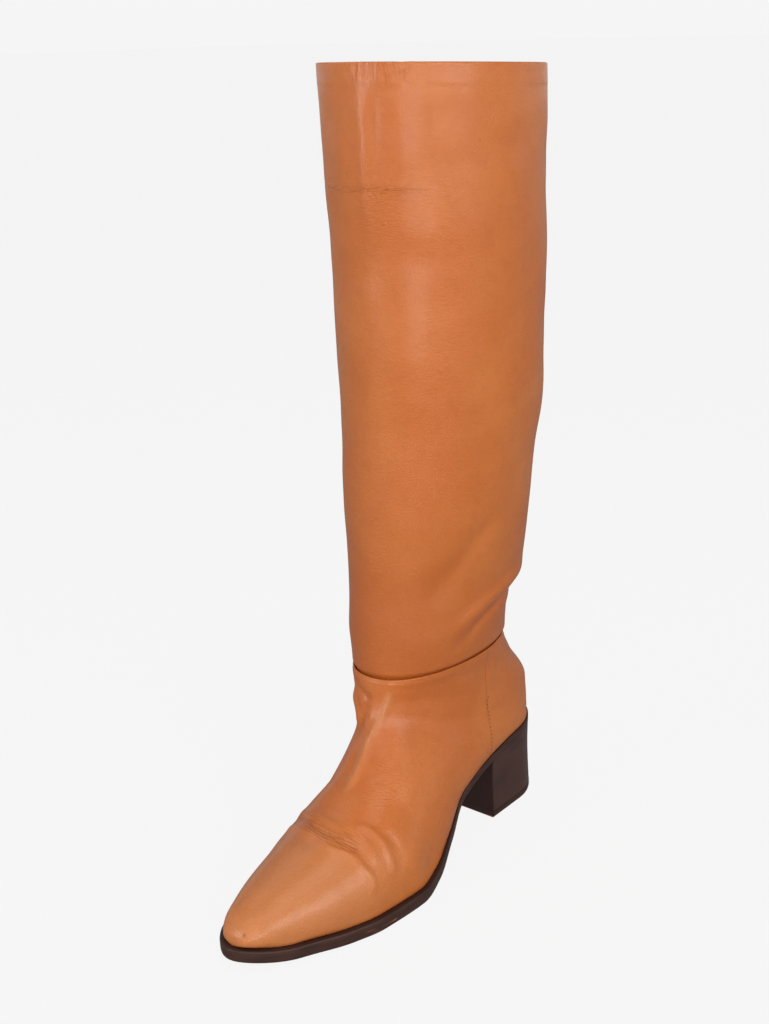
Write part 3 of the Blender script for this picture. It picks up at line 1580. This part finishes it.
@dataclass
class Foot(LeatherPiece):
    """The foot part: vamp and counter, closed at both sides.

    Attributes:
        skived: How much thinner the leather is at the top edge.
        seam_y: Place of the side seams along the foot.
        stitched_to: Height at which the side stitches end.
        toe_scuff: Middle of the dark scuff at the toe.
        wrinkled_along: Stretch of the instep that is wrinkled, along the foot.
        wrinkled_across: The same across it.
        flex_width: Half width of the ridges beside the flex crease.
        flex_length: Length along which those ridges are counted.
        flexed: Share of the flex crease that has them.
        darker_up: Heights between which the leather grows darker with age.
        rubbed_ahead: Places between which the toe grows lighter with wear.
        rubbed_below: Heights between which it does.
        ridge_wear: Half width of the light line on the instep's ridge.
        ridge_part: Share of the ridge that is worn light.
    """

    name: str = "foot"
    node: str = "upper"
    rows: Array = field(default_factory=lambda: rows_between((0, 1, 14), (1, BOOT.seam_row, 250)))
    columns: int = 241
    wall: float = 2.0
    folds: tuple[Fold | Waviness, ...] = FOOT_FOLDS
    edge_radius: float = 0.55
    lining_start: int = 13
    skived: float = 0.4
    seam_y: float = -68.5
    stitched_to: float = 93.0
    toe_scuff: Point = (9.0, -273.0, 22.0)
    wrinkled_along: Span = (-182, -172, -158, -146)
    wrinkled_across: Span = (8, 15, 26, 35)
    flex_width: float = 6.0
    flex_length: float = 60.0
    flexed: Span = (0, 0.1, 0.85, 1)
    darker_up: Pair = (60, 110)
    rubbed_ahead: Pair = (-165, -235)
    rubbed_below: Pair = (58, 42)
    ridge_wear: float = 2.4
    ridge_part: Span = (0, 0.2, 0.8, 1)

    def inset(self, row: Array) -> Array:
        """The top edge is skived thin."""
        return self.skived * ease(row, BOOT.seam_row - 0.3, BOOT.seam_row)

    def lining_depth(self) -> Array:
        """Less where the top edge is skived thin."""
        return self.wall - self.inset(self.rows)

    def fields(self, face: Face) -> dict[str, Array]:
        """Creases, wrinkled areas, worn areas and the side seams.

        Args:
            face: The outer face.

        Returns:
            The named fields.
        """
        x, y, z = np.moveaxis(face.rings, -1, 0)
        fields = super().fields(face)
        wrinkled = window(y, *self.wrinkled_along) * window(x, *self.wrinkled_across)
        fields["wrinkled"] = wrinkled * 0.5
        away, across, along = face.beside(FLEX_CREASE)
        fields["flexed"] = bell(away, self.flex_width) * window(along, *self.flexed)
        fields["across"] = across
        fields["along"] = along * self.flex_length
        fields["aged"] = ease(z, *self.darker_up) * 0.25
        rubbed = ease(y, *self.rubbed_ahead) * ease(z, *self.rubbed_below) * 0.55
        for ridge in INSTEP_RIDGES:
            away, _, along = face.beside(ridge)
            line = bell(away, self.ridge_wear) * window(along, *self.ridge_part)
            rubbed = np.maximum(rubbed, 0.8 * line)
        fields["rubbed"] = rubbed
        sewn = ease(z, self.stitched_to, self.stitched_to - 8)
        fields["seam"] = (y - self.seam_y) * (1 + 1.5 * sewn)
        from_scuff = np.linalg.norm(face.rings - np.array(self.toe_scuff), axis=-1)
        fields["edge"] = np.minimum(z - BOOT.sole_top(y) - BOOT.gap, 1.2 * from_scuff)
        return fields


@dataclass
class Leg(LeatherPiece):
    """The shaft, tucked into the foot part's top edge and hemmed at the collar.

    Attributes:
        tucked: How far its lower end lies inside the foot part.
        hem_proud: How far the hem stands out.
        front: Place along the foot ahead of which the front of the leg lies.
        back: Place behind which the back seam shows.
        bend: Height of the wrinkled band that the bent boot left.
        bend_width: Half width of that band.
        bend_across: Places across the leg between which it fades in.
        patch: Place across, and height, of the wrinkled patch under the band.
        patch_size: Half its width and half its height.
        darker_down: Heights between which the leg grows darker with age.
        darker_across: Places across the leg between which it does.
        gathered: Stretch of the hem that is gathered.
        gathered_up: Heights between which the gathers begin.
    """

    name: str = "shaft"
    node: str = "shaft"
    rows: Array = field(
        default_factory=lambda: rows_between(
            (13.2, BOOT.hem_row, 230), (BOOT.hem_row, BOOT.collar_row, 14)
        )
    )
    columns: int = 341
    wall: float = 1.8
    folds: tuple[Fold | Waviness, ...] = LEG_FOLDS + Puckers().folds()
    tucked: float = 2.3
    hem_proud: float = 0.12
    front: float = -90.0
    back: float = -60.0
    bend: float = 409.0
    bend_width: float = 2.5
    bend_across: Pair = (52, 20)
    patch: Pair = (14, 396)
    patch_size: Pair = (12, 13)
    darker_down: Pair = (300, 130)
    darker_across: Pair = (60, 10)
    gathered: Span = (-8, 4, 29, 37)
    gathered_up: Pair = (461, 466)

    def inset(self, row: Array) -> Array:
        """Tucked in below the seam, and a little proud at the hem."""
        tuck = ease(row, BOOT.seam_row + 0.3, BOOT.seam_row)
        hem = ease(row, BOOT.hem_row - 0.02, BOOT.hem_row + 0.02)
        return self.tucked * tuck - self.hem_proud * hem

    def hold(self, rings: Array, row: Array) -> Array:
        """Free above the seam, held inside the foot part below it."""
        return ease(row, BOOT.seam_row, BOOT.seam_row + 0.35)

    def fields(self, face: Face) -> dict[str, Array]:
        """Creases, the wrinkled band below the collar and the back seam.

        Args:
            face: The outer face.

        Returns:
            The named fields.
        """
        x, y, z = np.moveaxis(face.rings, -1, 0)
        ahead = y < self.front
        fields = super().fields(face)
        band = bell(z - self.bend, self.bend_width) * ease(x, *self.bend_across)
        beside, above = x - self.patch[0], z - self.patch[1]
        patch = bell(above, self.patch_size[1]) * bell(beside, self.patch_size[0]) * ahead
        fields["wrinkled"] = np.clip(band * 0.8 + patch * 0.5, 0, 1)
        wander = 1.3 * np.sin(x / 11) + 0.6 * np.sin(x / 4.3) - 0.5
        fields["bent"] = np.where(y < self.front - 5, z - self.bend - wander, FAR)
        fields["aged"] = ease(z, *self.darker_down) * ease(x, *self.darker_across) * 0.6
        fields["gathered"] = window(x, *self.gathered) * ahead * ease(z, *self.gathered_up)
        seam_x = BACK_SEAM.x(np.broadcast_to(self.rows[:, None], x.shape))
        fields["seam"] = np.where(y > self.back, x - seam_x, FAR)
        return fields


@dataclass
class StitchRow:
    """A row of short thread stitches along a line on the leather.

    Attributes:
        name: The piece's name.
        line: Points of the seam.
        normals: Direction out of the leather at each.
        pitch: Distance from one stitch to the next.
        length: Length of a stitch.
        radius: Radius of the thread.
        lift: How far the thread's middle lies above the leather.
        hoops: How many rings of points a stitch has.
        sides: How many sides the thread has.
    """

    name: str
    line: Array
    normals: Array
    pitch: float = 2.6
    length: float = 1.4
    radius: float = 0.24
    lift: float = 0.06
    hoops: int = 7
    sides: int = 8

    def build(self, finish: bpy.types.Material) -> bpy.types.Object:
        """Makes all the stitches as one mesh.

        Args:
            finish: The thread's material.

        Returns:
            The finished object.
        """
        spans = np.linalg.norm(np.diff(self.line, axis=0), axis=1)
        travelled = np.concatenate([[0], np.cumsum(spans)])
        mesher = Mesher(self.name)
        around = np.linspace(0, 2 * math.pi, self.sides + 1)[:-1]
        share = np.linspace(-0.5, 0.5, self.hoops)
        for start in np.arange(self.pitch, travelled[-1] - self.pitch, self.pitch):
            places = start + share * self.length
            spine = np.stack([np.interp(places, travelled, self.line[:, k]) for k in range(3)], -1)
            out = np.stack([np.interp(places, travelled, self.normals[:, k]) for k in range(3)], -1)
            arch = np.cos(share * math.pi)[:, None]
            spine = spine + out * (self.lift + self.radius * (1.3 * arch - 0.8))
            ahead = np.gradient(spine, axis=0)
            ahead /= np.linalg.norm(ahead, axis=1, keepdims=True)
            side = np.cross(ahead, out)
            size = self.radius * np.clip(arch * 1.6 + 0.25, 0.25, 1)
            sideways = side[:, None] * (np.cos(around)[None, :, None] * size[:, None])
            upwards = out[:, None] * (np.sin(around)[None, :, None] * size[:, None])
            mesher.grid(spine[:, None] + sideways + upwards, closed=True)
        return mesher.build(finish, "upper_leather")


@dataclass
class Upper:
    """The boot above the sole: foot part, shaft, linings and stitches.

    Attributes:
        foot: The foot part.
        leg: The shaft.
        from_seam: Distance of the stitches behind the side seam.
        strip: Half width of the strip of leather that carries them.
        first_stitch: Their start above the strip's lower end.
        smoothing: Length over which the line of stitches is smoothed.
    """

    foot: Foot = field(default_factory=Foot)
    leg: Leg = field(default_factory=Leg)
    from_seam: float = 0.9
    strip: float = 1.0
    first_stitch: float = 1.5
    smoothing: float = 2.8

    def build(self) -> None:
        """Makes both leather pieces, their linings and the side stitches."""
        leather = CalfLeather().make()
        lining = LiningLeather().make()
        self.foot.build(leather, lining)
        self.leg.build(leather, lining)
        self._side_stitches(Thread().make())

    def _side_stitches(self, thread: bpy.types.Material) -> None:
        """Sews the side seams of the foot part.

        Args:
            thread: Finish of the stitches.
        """
        face = self.foot.outer()
        half = self.foot.columns // 2
        for name, columns in (("inner", slice(half, None)), ("outer", slice(0, half))):
            points = face.rings[:, columns].reshape(-1, 3)
            out = face.normals[:, columns].reshape(-1, 3)
            near = np.abs(points[:, 1] - self.foot.seam_y - self.from_seam) < self.strip
            points, out = points[near], out[near]
            heights = np.arange(points[:, 2].min() + self.first_stitch, self.foot.stitched_to, 1.0)
            weights = bell(points[:, 2] - heights[:, None], self.smoothing)
            weights /= weights.sum(1, keepdims=True)
            line, facing = weights @ points, weights @ out
            line[:, 2] = heights
            StitchRow(f"{name}_side_stitches", line, facing).build(thread)


# ---- Studio ----


@dataclass(frozen=True)
class Softbox:
    """A square studio light aimed at the boot."""

    name: str
    place: Point
    aim: Point
    size: Pair
    power: float

    def hang(self) -> None:
        """Adds the light."""
        data = bpy.data.lights.new(self.name, "AREA")
        data.shape = "RECTANGLE"
        data.size, data.size_y = self.size
        data.energy = self.power
        lamp = bpy.data.objects.new(self.name, data)
        lamp.location = self.place
        heading = Vector(self.aim) - Vector(self.place)
        lamp.rotation_euler = heading.to_track_quat("-Z", "Y").to_euler()
        bpy.context.scene.collection.objects.link(lamp)


@dataclass(frozen=True)
class Studio:
    """Pale floor, soft light and the camera. Places are in metres and angles in degrees.

    Attributes:
        paper: Colour of the floor and surroundings.
        camera_place: Where the camera stands.
        heading: Its turn about the upright.
        down: How far it looks down.
        roll: How far it leans over.
        lens: Focal length in millimetres.
        film: Height of its film in millimetres.
        reach: Half the floor's width.
        paper_glow: Share of the floor's light that is its own.
        paper_strength: Brightness of that light.
        sky: Brightness overhead.
        ground: Brightness below.
        horizon: Heights between which the sky brightens towards the horizon.
        below: Heights between which the ground takes over.
        boxes: The studio lights.
    """

    paper: Colour = linear(245, 245, 245)
    camera_place: Point = (0.4929, -0.5945, 0.49)
    heading: float = 39.2
    down: float = 18.8
    roll: float = 1.7
    lens: float = 50.0
    film: float = 36.0
    reach: float = 40.0
    paper_glow: float = 0.96
    paper_strength: float = 1.02
    sky: float = 0.185
    ground: float = 0.26
    horizon: Pair = (0.2, 0.04)
    below: Pair = (-0.03, -0.08)
    boxes: tuple[Softbox, ...] = (
        Softbox("front_softbox", (0.43, -1.17, 0.85), (0.0, 0.0, 0.3), (0.9, 0.8), 2.3),
        Softbox("low_softbox", (0.93, -1.22, 0.24), (0.0, 0.0, 0.3), (0.9, 0.5), 4.9),
        Softbox("side_softbox", (1.7, -0.4, 0.75), (0.0, 0.0, 0.2), (1.2, 0.9), 14.2),
        Softbox("ceiling_softbox", (0.35, -0.05, 1.8), (0.0, 0.0, 0.05), (0.6, 0.9), 3.6),
        Softbox("left_softbox", (-1.0, 0.25, 1.4), (0.0, -0.06, 0.05), (0.8, 0.8), 2.2),
        Softbox("toe_softbox", (0.17, -0.77, 1.8), (0.0, -0.25, 0.03), (1.7, 0.45), 2.9),
        Softbox("instep_softbox", (-0.5, -1.3, 0.48), (0.0, -0.05, 0.15), (0.5, 0.6), 5.2),
        Softbox("rear_softbox", (1.1, 1.7, 0.7), (0.0, 0.0, 0.25), (1.0, 1.2), 0.9),
    )

    def build(self) -> None:
        """Sets up floor, lights, surroundings and camera."""
        self._floor()
        self._surroundings()
        for box in self.boxes:
            box.hang()
        self._camera()

    def _floor(self) -> None:
        """The pale paper floor."""
        recipe = Recipe("pale_paper")
        glow = {"Color": self.paper, "Strength": self.paper_strength}
        lit = recipe.node("ShaderNodeEmission", None, glow)
        matt = recipe.node("ShaderNodeBsdfDiffuse", None, {"Color": self.paper})
        share = {0: 1 - self.paper_glow, 1: lit.outputs[0], 2: matt.outputs[0]}
        mixed = recipe.node("ShaderNodeMixShader", None, share)
        output = recipe.tree.nodes["Material Output"]
        recipe.feed(output.inputs["Surface"], mixed.outputs[0])
        mesh = bpy.data.meshes.new("floor")
        turns = ((-1, -1), (1, -1), (1, 1), (-1, 1))
        corners = [(x * self.reach, y * self.reach, 0) for x, y in turns]
        mesh.from_pydata(corners, [], [(0, 1, 2, 3)])
        mesh.materials.append(recipe.material)
        floor = bpy.data.objects.new("floor", mesh)
        floor.visible_diffuse = False
        floor.visible_glossy = False
        bpy.context.scene.collection.objects.link(floor)

    def _surroundings(self) -> None:
        """Soft white surroundings, dimmer overhead and below than at the horizon."""
        world = bpy.data.worlds.new("studio")
        recipe = Recipe("studio", world)
        direction = recipe.node("ShaderNodeTexCoord").outputs["Generated"]
        split = recipe.node("ShaderNodeSeparateXYZ", None, {0: direction})
        height = Value(recipe, split.outputs["Z"])
        above = self.sky + height.ease(*self.horizon) * (1 - self.sky)
        level = above * height.ease(*reversed(self.below)) + self.ground * height.ease(*self.below)
        recipe.feed(recipe.shader.inputs["Color"], self.paper)
        recipe.feed(recipe.shader.inputs["Strength"], level)
        scene = bpy.context.scene
        scene.world = world
        scene.view_settings.view_transform = "Standard"

    def _camera(self) -> None:
        """The camera at the viewing angle."""
        data = bpy.data.cameras.new("camera")
        data.sensor_fit = "VERTICAL"
        data.sensor_height = self.film
        data.lens = self.lens
        camera = bpy.data.objects.new("camera", data)
        camera.location = self.camera_place
        spin = math.radians(self.heading)
        tilt = math.radians(90 - self.down)
        placed = (
            Matrix.Rotation(spin, 3, "Z")
            @ Matrix.Rotation(tilt, 3, "X")
            @ Matrix.Rotation(math.radians(-self.roll), 3, "Z")
        )
        camera.rotation_euler = placed.to_euler()
        bpy.context.scene.collection.objects.link(camera)
        bpy.context.scene.camera = camera


def main() -> None:
    """Builds the boot and its studio."""
    logging.basicConfig(level=logging.INFO, format="%(name)s: %(message)s")
    Studio().build()
    SoleUnit().build()
    Upper().build()


if __name__ == "__main__":
    main()
